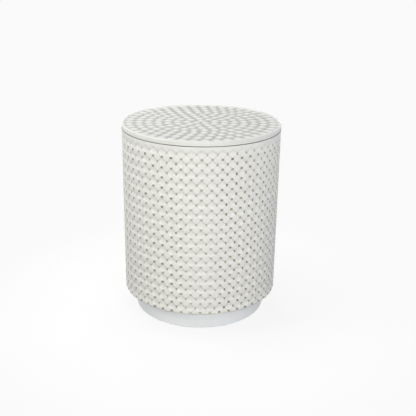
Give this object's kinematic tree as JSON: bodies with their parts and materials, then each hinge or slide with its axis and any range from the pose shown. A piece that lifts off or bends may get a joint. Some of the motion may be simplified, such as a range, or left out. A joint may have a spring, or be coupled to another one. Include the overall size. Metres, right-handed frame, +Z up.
{
  "type": "round accent table",
  "caption": "Drum-shaped accent table with a domed lattice carved into its wall, rings of carved domes on top and a recessed round plinth.",
  "frame": {"origin": "on the floor under the middle of the table", "axes": "+Z up; -Y towards the side that faces the viewer; +X to that viewer's right"},
  "size_m": [0.4, 0.4, 0.495],
  "materials": {
    "carved_paint": "thin warm-white paint over carved wood, brown wood showing in the pits",
    "plinth_paint": "smooth cool-white satin paint on wood",
    "hoop_wood": "bare planed hardwood",
    "dowel_wood": "bare turned beech",
    "ply_board": "bare plywood",
    "screw_steel": "zinc-plated steel",
    "glide_nylon": "moulded off-white nylon"
  },
  "bodies": {
    "root": {"carved_top": "carved_paint", "stave_01": "carved_paint", "stave_02": "carved_paint", "stave_03": "carved_paint", "stave_04": "carved_paint", "stave_05": "carved_paint", "stave_06": "carved_paint", "stave_07": "carved_paint", "stave_08": "carved_paint", "stave_09": "carved_paint", "stave_10": "carved_paint", "stave_11": "carved_paint", "stave_12": "carved_paint", "plinth_1": "plinth_paint", "plinth_2": "plinth_paint", "plinth_3": "plinth_paint", "plinth_4": "plinth_paint", "plinth_5": "plinth_paint", "plinth_6": "plinth_paint", "plinth_7": "plinth_paint", "plinth_8": "plinth_paint", "hoop_1": "hoop_wood", "hoop_2": "hoop_wood", "hoop_3": "hoop_wood", "hoop_4": "hoop_wood", "hoop_5": "hoop_wood", "hoop_6": "hoop_wood", "dowel_1": "dowel_wood", "dowel_2": "dowel_wood", "dowel_3": "dowel_wood", "dowel_4": "dowel_wood", "dowel_5": "dowel_wood", "dowel_6": "dowel_wood", "base_board": "ply_board", "screw_1": "screw_steel", "screw_2": "screw_steel", "screw_3": "screw_steel", "screw_4": "screw_steel", "screw_5": "screw_steel", "screw_6": "screw_steel", "screw_7": "screw_steel", "screw_8": "screw_steel", "glide_1": "glide_nylon", "glide_2": "glide_nylon", "glide_3": "glide_nylon", "glide_4": "glide_nylon"}
  },
  "joints": []
}
